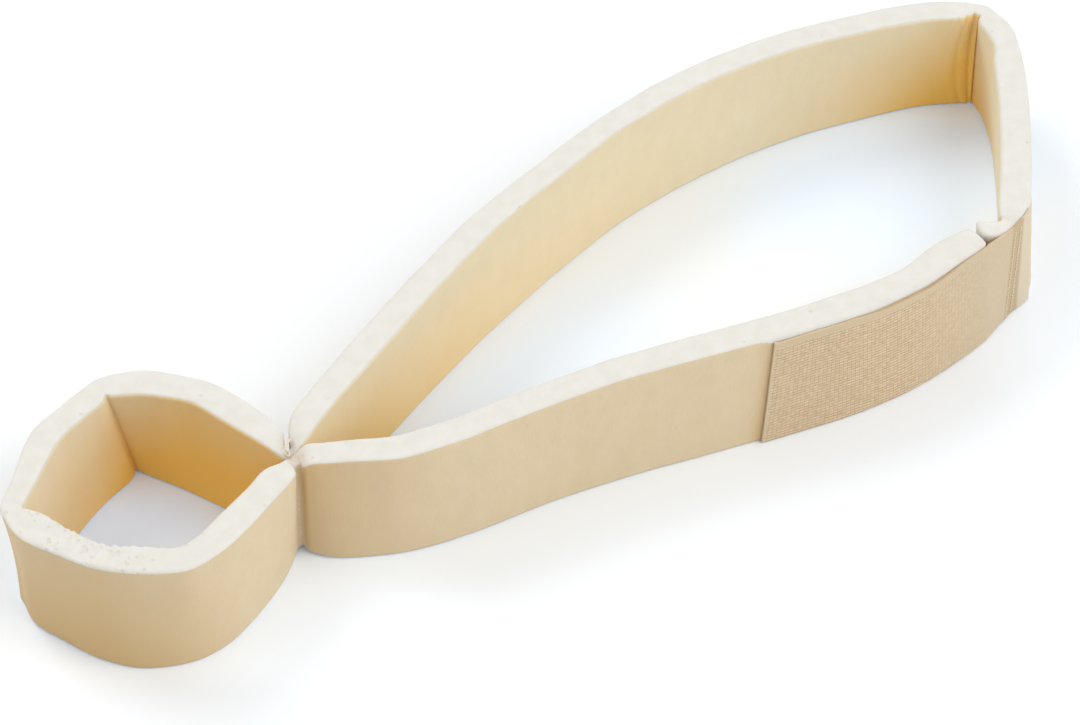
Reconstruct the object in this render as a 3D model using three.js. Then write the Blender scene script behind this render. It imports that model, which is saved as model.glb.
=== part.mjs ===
// A collar-and-cuff arm sling. One long foam strip, faced with brushed cloth on both sides, is folded
// and sewn to itself at a waist, which makes a small wrist loop and a large neck loop. A woven hook tab,
// sewn to one end of the strip, laps over the other end and closes the neck loop. The sling stands on
// its long cut edge.
// Millimetres, +Z up, +X from the wrist loop through the waist to the closure.

import * as THREE from 'three';

// Driving dimensions
const STRIP_WIDTH = 50; // the cut width, which is the height of the sling as it stands
const STRIP_THICKNESS = 12.2; // foam with both facings
const FACING_THICKNESS = 1;
const TAB_THICKNESS = 1.6;
const CLEARANCE = 0.25; // between pieces that are bonded or pressed together
const EDGE_SLOPE = 1.7; // the outer side of the cut top edge is this much lower than the inner side
const FACING_TRIM = 0.3; // the facings stop this far short of the foam's cut edges
const TAB_TRIM = 0.6; // the tab is this much narrower at each edge, and its top edge is level
const FOLD_CREASE = 1.2; // half the length of a fold's crease along the inner face
const STATION_STEP = 7; // longest step between stations along the strip
const SKIN = FACING_THICKNESS + CLEARANCE; // from either face of the strip to the foam

// The hook tab, measured along the strip
const TAB_LAP = 103.5; // over the free end
const TAB_SKEW = 4.5; // its free end is cut a little askew
const TAB_SEWN_FROM = 8.5; // from the other end, on the side of the closure
const TAB_SEWN_TO = 18.5;

// Sections of the strip, in the order in which it runs, from its free end to its sewn end.
// x, y: the foot of the inner face, measured from the waist seam
// face: the direction in which the outer face looks, in degrees
// thick: from facing to facing, where it isn't the plain thickness
// lx, ly: how far the top edge stands away from the foot
// curl: how far the top edge also curls outwards, mostly near the top
// drop, rise: how far a seam or a fold draws in the top and bottom edges
// turn: the angle of a sharp fold
const FRONT_STRAP = [
  { x: 282.5, y: -29, face: -82, thick: 11, ly: 2.5 },
  { x: 268, y: -32.5, face: -80, thick: 11.8, ly: 4.7 },
  { x: 246, y: -36.5, face: -84, thick: 11.5, ly: 5 },
  { x: 222, y: -37.8, face: -92, thick: 11.4, ly: 4.3 },
  { x: 193, y: -34, face: -97, thick: 11.9, ly: 4 },
  { x: 162, y: -29, face: -99, ly: 4.4 },
  { x: 129, y: -23.7, face: -96, ly: 3.7 },
  { x: 92, y: -19.7, face: -94, ly: 1.9 },
  { x: 58, y: -18.4, face: -97, ly: 2.9 },
  { x: 36, y: -14.8, face: -104, thick: 12.8, ly: 2.5 },
  { x: 23, y: -10.6, face: -110, ly: 2.3 },
];

const WAIST_FRONT = [
  { x: 12, y: -5.6, face: -113, thick: 11.4, ly: 3.4, drop: 0.8, rise: 0.3 },
  { x: 6.5, y: -1, face: -108, thick: 11.2, ly: 1.7, drop: 2.2, rise: 1 },
  { x: 2.6, y: 0, face: -99, thick: 8, ly: 0.4, drop: 3.8, rise: 1.8 },
  { x: 1.2, y: 0.15, face: -92, thick: 5.2, drop: 4.8, rise: 2.4 },
  { x: -1.2, y: -0.5, face: -86, thick: 5.2, drop: 4.8, rise: 2.4 },
  { x: -3.1, y: -0.8, face: -84, thick: 6.4, lx: 0.6, ly: -0.4, drop: 3.6, rise: 1.8 },
  { x: -8, y: -1, face: -72, thick: 8.2, lx: 1.8, ly: -1.8, drop: 1.5, rise: 0.7 },
];

const WRIST_LOOP = [
  { x: -15, y: -1.6, face: -63, lx: 1.5, ly: -2.4 },
  { x: -24.6, y: -8.8, face: -61, lx: 0.6, ly: -1.1 },
  { x: -38.2, y: -16, face: -67, thick: 13 },
  { x: -50, y: -22.2, face: -76, thick: 12.8, ly: 0.8 },
  { x: -59.5, y: -23.7, face: -98, ly: 0.6 },
  { x: -71.8, y: -19, face: -126, thick: 12.6, lx: 1.4, ly: 2.2 },
  { x: -82, y: -9.6, face: -140, thick: 11.8, lx: 1.5, ly: 1.3 },
  { x: -88, y: 3.2, face: -153, lx: -0.5 },
  { x: -93, y: 15.8, face: -152, thick: 11.6, lx: -0.6, curl: 1.4 },
  { x: -95.3, y: 22.4, face: 169, turn: 62, thick: 8.6, curl: 4.6, drop: 0.5 },
  { x: -87.6, y: 28, face: 129, thick: 10.5, lx: -1.2, ly: 1.4, curl: 2 },
  { x: -70.5, y: 42.8, face: 125, thick: 11.5, lx: -2.5, ly: 3.4 },
  { x: -56, y: 51.5, face: 116, thick: 11, lx: -4.9, ly: 1.2 },
  { x: -38.4, y: 62.1, face: 106, thick: 10, lx: -10.5, ly: -3.6 },
  { x: -37.2, y: 62, face: 80, thick: 10.8, lx: -10.5, ly: -3.6 },
  { x: -36.4, y: 60.9, face: 56, thick: 12.4, lx: -10, ly: -3.4 },
  { x: -34, y: 56.5, face: 50, thick: 13.8, lx: -5, ly: -2.4 },
  { x: -28.3, y: 47.2, face: 38, thick: 13.5, lx: -2.4, ly: 0.7 },
  { x: -24, y: 39.5, face: 29, thick: 13.2, lx: 1.3, ly: 0.7 },
  { x: -16.6, y: 25.3, face: 20, thick: 13.5, lx: -0.9, ly: -0.3 },
];

const WAIST_BACK = [
  { x: -10.5, y: 8.2, face: 27 },
  { x: -6.2, y: 1.7, face: 46, thick: 10, drop: 1.2, rise: 0.6 },
  { x: -2.8, y: -0.35, face: 72, thick: 7.2, drop: 3.4, rise: 1.8 },
  { x: -1.2, y: -0.15, face: 88, thick: 4.4, drop: 4.8, rise: 2.4 },
  { x: 1.2, y: 0.5, face: 88, thick: 4.4, drop: 4.8, rise: 2.4 },
  { x: 2.8, y: 0.95, face: 94, thick: 7.1, drop: 3.4, rise: 1.8 },
  { x: 7, y: 2.3, face: 105, thick: 10.3, drop: 1.2, rise: 0.6 },
];

const BACK_STRAP = [
  { x: 14, y: 6.3, face: 118, thick: 11.8 },
  { x: 27, y: 14.2, face: 121 },
  { x: 52, y: 28, face: 120, ly: 0.4 },
  { x: 88, y: 46.8, face: 117, lx: -0.5, ly: 0.9 },
  { x: 125, y: 64.5, face: 113, lx: -0.8, ly: 1.8 },
  { x: 160, y: 77.3, face: 109, lx: -0.5, ly: 1.4 },
  { x: 194, y: 88.3, face: 105, thick: 11.7, lx: -0.4, ly: 1.4 },
  { x: 225, y: 94.3, face: 98, ly: 1.5 },
  { x: 255, y: 97.1, face: 91, ly: 1 },
  { x: 283, y: 96.5, face: 84 },
  { x: 308, y: 93.3, face: 78, lx: -0.4, ly: -2 },
  { x: 334.4, y: 88.2, face: 74, lx: -0.8, ly: -2.9 },
  { x: 348.5, y: 83.4, face: 68, thick: 11.6, lx: -1.1, ly: -2.8 },
  { x: 359, y: 79, face: 25, turn: 62, thick: 8.4, lx: -2, ly: -2, drop: 0.5 },
  { x: 356.8, y: 67.6, face: -17, thick: 12, lx: -2.9, ly: 0.9 },
  { x: 351.8, y: 55, face: -24, lx: -2.7, ly: 1.2 },
  { x: 339.3, y: 32.3, face: -31, thick: 12.6, lx: -2.6, ly: 1.5 },
  { x: 317.2, y: -2.3, face: -32, thick: 12.8, lx: -2.5, ly: 1.6 },
  { x: 304, y: -20.6, face: -34, thick: 12.8, lx: -1.6, ly: 1.2 },
];

// The sewn end is pressed thin under the tab's stitching.
// It ends in a short stub, turned in behind the tab.
const SEWN_END = [
  { x: 298.4, y: -26.2, face: -34, thick: 9.8, ly: 0.6, drop: 0.6, rise: 0.3 },
  { x: 296.9, y: -28, face: -57, thick: 6.6, ly: 0.8, drop: 1.6, rise: 0.8 },
  { x: 295, y: -28, face: -86, thick: 6.8, ly: 1.2, drop: 1.2, rise: 0.6 },
  { x: 291.5, y: -26.6, face: -98, thick: 8.2, ly: 1.4 },
  { x: 287.4, y: -25.6, face: -109, thick: 8.6, ly: 1.6 },
];

const STRIP = [...FRONT_STRAP, ...WAIST_FRONT, ...WRIST_LOOP, ...WAIST_BACK, ...BACK_STRAP, ...SEWN_END];

// Rows of points up the strip's height, as fractions of it
const HEIGHTS = [0, 0.5, 0.8, 1];

function towards(degrees) {
  const angle = THREE.MathUtils.degToRad(degrees);
  return new THREE.Vector3(Math.cos(angle), Math.sin(angle), 0);
}

// The strip runs with its outer face on its left.
function runOf(face) {
  return towards(face - 90);
}

// A fold becomes three sections that fan out from one crease.
function unfold(row) {
  if (!row.turn) return [row];
  const before = row.face + row.turn / 2;
  const after = row.face - row.turn / 2;
  const start = runOf(before).multiplyScalar(-FOLD_CREASE);
  const end = runOf(after).multiplyScalar(FOLD_CREASE);
  return [
    { ...row, face: before, x: row.x + start.x, y: row.y + start.y },
    row,
    { ...row, face: after, x: row.x + end.x, y: row.y + end.y },
  ];
}

// A section's inner and outer points at a fraction of the height, as plan points
function sectionAt(row, height) {
  const out = towards(row.face);
  const inner = new THREE.Vector3(row.x, row.y, 0);
  inner.addScaledVector(new THREE.Vector3(row.lx ?? 0, row.ly ?? 0, 0), height);
  inner.addScaledVector(out, (row.curl ?? 0) * height ** 3);
  const outer = inner.clone().addScaledVector(out, row.thick ?? STRIP_THICKNESS);
  return { inner, outer };
}

// How far the cut edges are drawn in, as a vector, so that it can be blended from row to row
function drawOf(row) {
  return new THREE.Vector3(row.drop ?? 0, row.rise ?? 0, 0);
}

function smoothCurve(points) {
  return new THREE.CatmullRomCurve3(points, false, 'centripetal');
}

// The strip's long edges are smooth curves through its sections.
// A station holds their points side by side.
function makeStations(rows) {
  const levels = HEIGHTS.map((height) => rows.map((row) => sectionAt(row, height)));
  const curves = levels.map((level) => ({
    inner: smoothCurve(level.map((section) => section.inner)),
    outer: smoothCurve(level.map((section) => section.outer)),
  }));
  const foot = levels[0];
  const last = rows.length - 1;
  const stations = [];
  for (let i = 0; i < last; i += 1) {
    const innerSpan = foot[i].inner.distanceTo(foot[i + 1].inner);
    const outerSpan = foot[i].outer.distanceTo(foot[i + 1].outer);
    const steps = Math.max(1, Math.round(Math.max(innerSpan, outerSpan) / STATION_STEP));
    for (let j = 0; j < steps; j += 1) {
      const draw = drawOf(rows[i]).lerp(drawOf(rows[i + 1]), j / steps);
      stations.push(stationAt(curves, (i + j / steps) / last, draw));
    }
  }
  stations.push(stationAt(curves, 1, drawOf(rows[last])));
  return stations;
}

function stationAt(curves, t, draw) {
  const sides = curves.map((curve) => ({ inner: curve.inner.getPoint(t), outer: curve.outer.getPoint(t) }));
  return { ...makeStation(sides), low: draw.y, high: STRIP_WIDTH - draw.x, slope: EDGE_SLOPE };
}

function makeStation(sides) {
  const thick = sides[0].inner.distanceTo(sides[0].outer);
  const centre = sides[0].inner.clone().lerp(sides[0].outer, 0.5);
  return { sides, thick, centre };
}

// The distance of each station along the strip
function measure(stations) {
  let length = 0;
  stations.forEach((station, i) => {
    if (i > 0) length += station.centre.distanceTo(stations[i - 1].centre);
    station.along = length;
  });
  return length;
}

// A point of a station at a depth from the inner face, on one of the rows up its height
function pointAt(station, depth, row, trim) {
  const { inner, outer } = station.sides[row];
  const out = outer.clone().sub(inner).normalize();
  const low = station.low + trim;
  const high = station.high - (station.slope * depth) / station.thick - trim;
  const point = inner.clone().addScaledVector(out, depth);
  return point.setZ(THREE.MathUtils.lerp(low, high, HEIGHTS[row]));
}

// A closed ring of points round one layer of the strip: up its inner side and down its outer side
function ringAt(station, from, to, trim) {
  const innerSide = HEIGHTS.map((height, row) => pointAt(station, from, row, trim));
  const outerSide = HEIGHTS.map((height, row) => pointAt(station, to, row, trim));
  return [...innerSide, ...outerSide.reverse()];
}

// A closed solid through rings of points. Side faces are split the same way on both of their sides.
function loft(rings) {
  const count = rings[0].length;
  const positions = rings.flat().flatMap((point) => point.toArray());
  const indices = [];
  for (let k = 0; k + 1 < rings.length; k += 1) {
    for (let i = 0; i < count; i += 1) {
      const next = (i + 1) % count;
      const a = k * count + i;
      const b = k * count + next;
      const c = a + count;
      const d = b + count;
      if (rings[k][i].z <= rings[k][next].z) indices.push(a, c, d, a, d, b);
      else indices.push(a, c, b, c, d, b);
    }
  }
  const end = (rings.length - 1) * count;
  for (let i = 1; i + 1 < count; i += 1) {
    indices.push(0, i, i + 1);
    indices.push(end, end + i + 1, end + i);
  }
  const geometry = new THREE.BufferGeometry();
  geometry.setAttribute('position', new THREE.Float32BufferAttribute(positions, 3));
  geometry.setIndex(indices);
  geometry.computeVertexNormals();
  return geometry;
}

// The station at any distance along the strip, between its two neighbours
function stationAlong(stations, along) {
  const next = stations.findIndex((station) => station.along >= along);
  const before = stations[next - 1];
  const after = stations[next];
  const share = (along - before.along) / (after.along - before.along);
  const sides = before.sides.map((side, row) => ({
    inner: side.inner.clone().lerp(after.sides[row].inner, share),
    outer: side.outer.clone().lerp(after.sides[row].outer, share),
  }));
  return makeStation(sides);
}

// The tab's free end, askew: its foot reaches further along the strip than its top.
function tabFreeEnd(stations) {
  const sides = HEIGHTS.map((height, row) => {
    const along = TAB_LAP + TAB_SKEW * (0.5 - height);
    return stationAlong(stations, along).sides[row];
  });
  return makeStation(sides);
}

// The tab runs from its free end over the outer face to the strip's end, and crosses to the sewn end.
function tabStations(stations, length) {
  const lapped = stations.filter((station) => station.along < TAB_LAP - TAB_SKEW);
  const sewn = stations.filter((station) => {
    const fromEnd = length - station.along;
    return fromEnd > TAB_SEWN_FROM && fromEnd < TAB_SEWN_TO;
  });
  const sewnEdge = stationAlong(stations, length - TAB_SEWN_TO);
  const run = [tabFreeEnd(stations), ...lapped.reverse(), ...sewn.reverse(), sewnEdge];
  return run.map((station) => ({ ...station, low: 0, high: STRIP_WIDTH, slope: 0 }));
}

// The tab runs against the strip's direction, so its rings are turned round.
function tabRing(station) {
  const near = station.thick + CLEARANCE;
  return ringAt(station, near, near + TAB_THICKNESS, TAB_TRIM).reverse();
}

function piece(name, geometry, color, roughness) {
  const material = new THREE.MeshStandardMaterial({ color, roughness, metalness: 0 });
  const mesh = new THREE.Mesh(geometry, material);
  mesh.name = name;
  return mesh;
}

const stations = makeStations(STRIP.flatMap(unfold));
const stripLength = measure(stations);

const foamRings = stations.map((station) => ringAt(station, SKIN, station.thick - SKIN, 0));
const outerRings = stations.map((station) => {
  return ringAt(station, station.thick - FACING_THICKNESS, station.thick, FACING_TRIM);
});
const innerRings = stations.map((station) => ringAt(station, 0, FACING_THICKNESS, FACING_TRIM));
const tabRings = tabStations(stations, stripLength).map(tabRing);

const sling = new THREE.Group();
sling.add(piece('foam_core', loft(foamRings), 0xf1ede2, 0.95));
sling.add(piece('outer_facing', loft(outerRings), 0xdcc59f, 0.9));
sling.add(piece('inner_facing', loft(innerRings), 0xdcc08f, 0.9));
sling.add(piece('hook_tab', loft(tabRings), 0xd3bf97, 0.85));

// The origin is under the middle of the whole sling, on the surface that it stands on.
const bounds = new THREE.Box3().setFromObject(sling);
const middle = bounds.getCenter(new THREE.Vector3());
sling.position.set(-middle.x, -middle.y, -bounds.min.z);

export default sling;
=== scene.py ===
# A collar-and-cuff arm sling, standing on its long cut edge. A foam strip with brushed cloth on both faces
# is bent round its route, sewn to itself at the waist, and closed by a woven hook tab.

import math

import bpy
import numpy as np
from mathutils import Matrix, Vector, noise


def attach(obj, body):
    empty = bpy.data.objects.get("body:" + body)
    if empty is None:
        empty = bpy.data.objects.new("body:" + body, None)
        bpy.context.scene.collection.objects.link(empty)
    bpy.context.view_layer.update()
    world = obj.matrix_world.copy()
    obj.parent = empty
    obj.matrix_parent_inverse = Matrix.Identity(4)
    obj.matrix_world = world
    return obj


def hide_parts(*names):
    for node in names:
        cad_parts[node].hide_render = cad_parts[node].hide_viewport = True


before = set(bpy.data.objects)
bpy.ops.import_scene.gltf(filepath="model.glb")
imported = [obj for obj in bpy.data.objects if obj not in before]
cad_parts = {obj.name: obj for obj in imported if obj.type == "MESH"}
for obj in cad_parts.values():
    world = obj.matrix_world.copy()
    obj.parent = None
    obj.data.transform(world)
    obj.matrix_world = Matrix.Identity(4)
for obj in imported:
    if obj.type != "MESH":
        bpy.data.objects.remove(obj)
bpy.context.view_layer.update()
bpy.ops.object.select_all(action="DESELECT")

# The foam strip
# A plank of soft white foam, cut 50 mm wide and 12 mm thick with its two cloths. It starts flat, has its
# edges eased, and is then bent round its route: strap, waist, wrist loop, waist, strap, closure.
STRIP_WIDTH = 50
STRIP_THICKNESS = 12.2
CLOTH_THICKNESS = 0.7
FOLD_CREASE = 0.6
WAIST_SEAM = np.array([-130.0, -29.6])

# Each row of the route is an upright section of the strip, in millimetres and degrees. x and y give the
# foot of its inner face from the waist, face the way that its outer face looks, and thick its thickness.
# lx and ly say how far its top leans, and curl how far the top bends outwards. drop lowers its upper edge
# and rise lifts its lower one. turn makes it a sharp fold of that angle, and spot names its place.
FRONT_STRAP = [
    dict(x=284, y=-29.4, face=-88, thick=11.2, ly=3.4),
    dict(x=268, y=-31.3, face=-80, thick=13.2, ly=4.9),
    dict(x=246, y=-37.2, face=-84, thick=11.3, ly=5),
    dict(x=222, y=-36, face=-92, thick=13.2, ly=4.3),
    dict(x=193, y=-32.7, face=-97, thick=13.2, ly=4),
    dict(x=162, y=-28.2, face=-99, thick=13, ly=4.4),
    dict(x=129, y=-23, face=-96, thick=12.9, ly=4.4),
    dict(x=92, y=-19.3, face=-94, thick=12.6, ly=3),
    dict(x=58, y=-18.4, face=-97, thick=12.6, ly=2.9),
    dict(x=36, y=-14.8, face=-104, thick=12.8, ly=2),
    dict(x=23, y=-10.6, face=-110, ly=3),
]
WAIST_FRONT = [
    dict(x=12, y=-5.6, face=-113, thick=11.6, ly=3.4, drop=0.6, rise=0.3),
    dict(x=5.4, y=-0.8, face=-107, thick=11.3, ly=1.7, drop=1.4, rise=0.8),
    dict(x=1.4, y=0, face=-100, thick=8.8, ly=0.4, drop=2.9, rise=1.4),
    dict(x=0, y=0.1, face=-92, thick=6, drop=3.7, rise=1.6, spot="front seam"),
    dict(x=-2.8, y=-0.6, face=-88, thick=5.2, drop=3.9, rise=1.6),
    dict(x=-3.9, y=-0.8, face=-86, thick=5.6, lx=0.3, ly=-0.2, drop=3.2, rise=1.2),
    dict(x=-8.8, y=-1.2, face=-72, thick=8.2, lx=1.8, ly=-1.8, drop=1.5, rise=0.3),
]
WRIST_LOOP = [
    dict(x=-15.5, y=-1.8, face=-63, lx=1.5, ly=-2.4),
    dict(x=-24.6, y=-8.8, face=-61, thick=12.5, lx=0.6, ly=-0.4),
    dict(x=-38.2, y=-16, face=-67, thick=13.5, ly=0.4),
    dict(x=-50, y=-22.2, face=-76, thick=12.8, ly=0.8),
    dict(x=-59.4, y=-22.9, face=-98, thick=13, ly=0.6, spot="wrist front"),
    dict(x=-71.1, y=-18, face=-126, thick=13.8, lx=1.4, ly=2.2),
    dict(x=-82, y=-9.6, face=-140, thick=11.8, lx=1.2, ly=0.7, spot="torn edge"),
    dict(x=-87.4, y=3.6, face=-153, thick=12.9, lx=-0.8, ly=-0.4),
    dict(x=-91.8, y=18.3, face=-152, thick=14.4, lx=-1.4, curl=1.4),
    dict(x=-95.3, y=22.4, face=165, turn=40, thick=8.6, curl=3.6, drop=0.5, spot="left fold"),
    dict(x=-87.6, y=28, face=129, thick=9.8, lx=-1.2, ly=1.4, curl=2),
    dict(x=-70.5, y=42.8, face=125, thick=12.3, lx=-2.5, ly=3.4),
    dict(x=-56, y=51.5, face=118, thick=11.8, lx=-4.6, ly=0.5),
    dict(x=-40.2, y=58.6, face=112, thick=11.6, lx=-10.3, ly=-2.6),
    dict(x=-37.3, y=62.4, face=84, thick=10, lx=-10.7, ly=-3.6, spot="back fold"),
    dict(x=-36.3, y=60.6, face=56, thick=12.6, lx=-10.1, ly=-3.1),
    dict(x=-34, y=56.5, face=50, thick=13.8, lx=-5, ly=-2.4),
    dict(x=-28.3, y=47.2, face=38, thick=13.5, lx=-2.4, ly=0.7),
    dict(x=-24, y=39.5, face=29, thick=13.2, lx=1.3, ly=0.7),
    dict(x=-16.6, y=25.3, face=20, thick=13.5, ly=0.6),
]
WAIST_BACK = [
    dict(x=-10.5, y=8.2, face=27, thick=11.4, lx=0.7, ly=0.7),
    dict(x=-6.2, y=1.7, face=46, thick=10, drop=1.2, rise=0.6),
    dict(x=-2.8, y=-0.35, face=72, thick=7.2, drop=3.4, rise=1.8),
    dict(x=-1.2, y=-0.15, face=88, thick=4.4, drop=4.8, rise=2.4, spot="back seam"),
    dict(x=1.2, y=0.5, face=88, thick=4.4, drop=4.8, rise=2.4),
    dict(x=2.8, y=0.95, face=94, thick=7.1, drop=3.4, rise=1.8),
    dict(x=7, y=2.3, face=105, thick=10.3, drop=1.2, rise=0.6),
]
BACK_STRAP = [
    dict(x=14, y=6.3, face=118, thick=11.8),
    dict(x=27, y=14.2, face=121),
    dict(x=52.2, y=27.6, face=120, thick=13, ly=0.4),
    dict(x=88.3, y=46.2, face=117, thick=13, lx=-0.5, ly=1.2),
    dict(x=125.5, y=63.3, face=113, thick=12.8, lx=-0.8, ly=2.3),
    dict(x=160.1, y=77, face=109, lx=-0.5, ly=1.4),
    dict(x=194, y=88.3, face=105, thick=11.7, lx=-0.4, ly=1.4),
    dict(x=225, y=94.3, face=98, ly=1.5),
    dict(x=255, y=97.1, face=91, ly=1),
    dict(x=283, y=96.5, face=84),
    dict(x=308, y=93.3, face=78, lx=-0.4, ly=-1),
    dict(x=334.4, y=88.2, face=74, lx=-0.8, ly=-2),
    dict(x=348.5, y=83.4, face=68, thick=11.6, lx=-1.1, ly=-2.8),
    dict(x=359, y=79, face=25, turn=62, thick=8.4, lx=-2, ly=-2, drop=0.5, spot="far fold"),
    dict(x=356.8, y=67.6, face=-17, thick=12, lx=-2.9, ly=0.9),
    dict(x=351.8, y=55, face=-24, lx=-2.7, ly=1.2),
    dict(x=339.3, y=32.3, face=-31, thick=12.6, lx=-2.6, ly=1.5),
    dict(x=317.2, y=-2.3, face=-32, thick=12.8, lx=-2.9, ly=1.7),
    dict(x=304, y=-20.6, face=-34, thick=12.6, lx=-3, ly=1.8),
]
SEWN_END = [
    dict(x=298.4, y=-26.2, face=-34, thick=9.8, lx=-1.2, ly=1, drop=0.6, rise=0.3),
    dict(x=296.9, y=-27.3, face=-57, thick=6.6, ly=0.1, drop=1.6, rise=0.8, spot="hinge"),
    dict(x=295, y=-28.3, face=-86, thick=7.1, ly=0.7, drop=1.2, rise=0.6),
    dict(x=291, y=-28.2, face=-97, thick=8.6, ly=1.4),
    dict(x=284.9, y=-25.6, face=-93, thick=9.8, ly=1.8, drop=-1),
]


def towards(degrees):
    angle = math.radians(degrees)
    return np.array([math.cos(angle), math.sin(angle)])


def unfolded(row):
    """A sharp fold becomes three sections that fan out from one crease."""
    if "turn" not in row:
        return [row]
    fan = []
    for side in (-1, 0, 1):
        face = row["face"] - side * row["turn"] / 2
        step = towards(face - 90) * FOLD_CREASE * side
        section = dict(row, face=face, curl_face=row["face"], x=row["x"] + step[0], y=row["y"] + step[1])
        if side:
            section.pop("spot", None)
        fan.append(section)
    return fan


def section_values(row):
    """Foot of the inner face, foot of the outer face, lean, curl, drop and rise of a section."""
    out = towards(row["face"])
    inner = np.array([row["x"], row["y"]])
    outer = inner + out * row.get("thick", STRIP_THICKNESS)
    lean = [row.get("lx", 0), row.get("ly", 0)]
    curl = towards(row.get("curl_face", row["face"])) * row.get("curl", 0)
    return np.concatenate([inner, outer, lean, curl, [row.get("drop", 0), row.get("rise", 0)]])


def smooth_samples(values, knots, at):
    """Smooth curves through all the columns of the sections at once."""
    slopes = np.gradient(values, knots, axis=0)
    i = np.clip(np.searchsorted(knots, at, side="right") - 1, 0, len(knots) - 2)
    span = (knots[i + 1] - knots[i])[:, None]
    t = (at - knots[i])[:, None] / span
    start = (2 * t**3 - 3 * t**2 + 1) * values[i] + (t**3 - 2 * t**2 + t) * span * slopes[i]
    end = (3 * t**2 - 2 * t**3) * values[i + 1] + (t**3 - t**2) * span * slopes[i + 1]
    return start + end


parts = [FRONT_STRAP, WAIST_FRONT, WRIST_LOOP, WAIST_BACK, BACK_STRAP, SEWN_END]
sections = [section for part in parts for row in part for section in unfolded(row)]
section_table = np.array([section_values(row) for row in sections])
section_middles = (section_table[:, 0:2] + section_table[:, 2:4]) / 2
section_gaps = np.linalg.norm(np.diff(section_middles, axis=0), axis=1)
section_knots = np.concatenate([[0], np.cumsum(np.sqrt(section_gaps))])

SAMPLES_PER_SECTION = 30
sample_knots = np.linspace(0, section_knots[-1], len(sections) * SAMPLES_PER_SECTION)
route = smooth_samples(section_table, section_knots, sample_knots)
route_middles = (route[:, 0:2] + route[:, 2:4]) / 2
route_runs = np.concatenate([[0], np.cumsum(np.linalg.norm(np.diff(route_middles, axis=0), axis=1))])
strip_length = route_runs[-1]
section_runs = np.interp(section_knots, sample_knots, route_runs)
spots = {row["spot"]: run for row, run in zip(sections, section_runs) if "spot" in row}

# The knife left the top edge a little wavy.
CUT_WAVE = 0.35
CUT_WAVE_STEP = 13
CUT_WAVE_SEED = 3
route_waves = [CUT_WAVE * noise.noise(Vector((run / CUT_WAVE_STEP, 0, CUT_WAVE_SEED))) for run in route_runs]

# Both ends are cut by hand, so their corners are rounded off.
END_ROUNDING = 6
INNER_CORNER = 1.4
OUTER_CORNER = 0.8


def rounded_run(run, layer):
    set_back = INNER_CORNER * (1 - layer) ** 2 + OUTER_CORNER * layer**4
    near_start = np.clip(1 - run / END_ROUNDING, 0, 1)
    near_end = np.clip(1 - (strip_length - run) / END_ROUNDING, 0, 1)
    return run + set_back * (near_start - near_end)


def near(run, spot, reach):
    """1 at a spot on the strip, easing to 0 at its reach."""
    share = np.clip(1 - np.abs(run - spots[spot]) / reach, 0, 1)
    return share * share * (3 - 2 * share)


# Where the far end folds inwards, its inner cloth gathers into upright ridges before the crease, which are
# widest at half height. Just past the crease it puffs out in its upper half, and its top edge opens on both
# sides. Each row for these gives the run past the crease, the reach from there and the depth, in mm.
GATHER_STEP = 4
GATHER_SWELL = 1.8
GATHER_DEPTH = 1.4
GATHER_REACH = 21
RIDGE_ROUNDING = 0.7
PUFF = dict(past=8, reach=9, depth=0.8)
PUFF_FROM_HEIGHT = 0.45
TOP_OPENINGS = [
    dict(past=24, reach=14, depth=1.8),
    dict(past=-4, reach=8, depth=2.8),
]


def depth_near_crease(run, row):
    return row["depth"] * near(run - row["past"], "far fold", row["reach"])


def inner_relief(run, height):
    """How far the inner face lies behind its smooth route, in mm."""
    before_crease = np.maximum(spots["far fold"] - run, 0)
    step = GATHER_STEP + GATHER_SWELL * (1 - (2 * height - 1) ** 2)
    ridges = np.abs(np.sin(before_crease / step * math.pi)) ** RIDGE_ROUNDING
    fade = np.clip(1 - before_crease / GATHER_REACH, 0, 1)
    puff = depth_near_crease(run, PUFF) * np.clip((height - PUFF_FROM_HEIGHT) * 2, 0, 1)
    opening = sum(depth_near_crease(run, row) for row in TOP_OPENINGS)
    return opening * height**4 - GATHER_DEPTH * ridges * fade - puff


# The crease at the back of the wrist loop wanders, and both faces are slightly uneven all over.
CREASE_WANDER = 1.8
CREASE_REACH = 9
CREASE_WAVES = 3.5
CREASE_SEED = 11
UNEVENNESS = 0.2
UNEVEN_STEP = 24
UNEVEN_WAVES = 2.2


def uneven(run, height, seed):
    places = zip(run / UNEVEN_STEP, height * UNEVEN_WAVES)
    return UNEVENNESS * np.array([noise.noise(Vector((along, up, seed))) for along, up in places])


def place(run, height, layer, lift):
    """Points of the bent strip in metres. run is along it in mm, height is the share of its width, layer
    goes from 0 on the inner face to 1 on the outer one, and lift is a distance outwards in mm."""
    waves = np.array([noise.noise(Vector((h * CREASE_WAVES, 0, CREASE_SEED))) for h in height])
    wander = CREASE_WANDER * waves * near(run, "back fold", CREASE_REACH)
    run = rounded_run(run, layer) + wander * (1 - layer)
    value = np.stack([np.interp(run, route_runs, column) for column in route.T], axis=1)
    inner_foot, outer_foot, lean, curl = np.split(value[:, :8], 4, axis=1)
    drop, rise = value[:, 8:].T
    upright = height[:, None]
    shift = lean * upright + curl * upright**3
    across = outer_foot - inner_foot
    out = across / np.linalg.norm(across, axis=1)[:, None]
    inner = (1 - layer) * (inner_relief(run, height) + uneven(run, height, seed=1))
    lift = lift + inner + layer * uneven(run, height, seed=2)
    plan = inner_foot + shift + across * layer[:, None] + out * lift[:, None]
    top = STRIP_WIDTH - drop + np.interp(run, route_runs, route_waves)
    level = rise + height * (top - rise)
    return np.column_stack([plan + WAIST_SEAM, level]) / 1000


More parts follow.
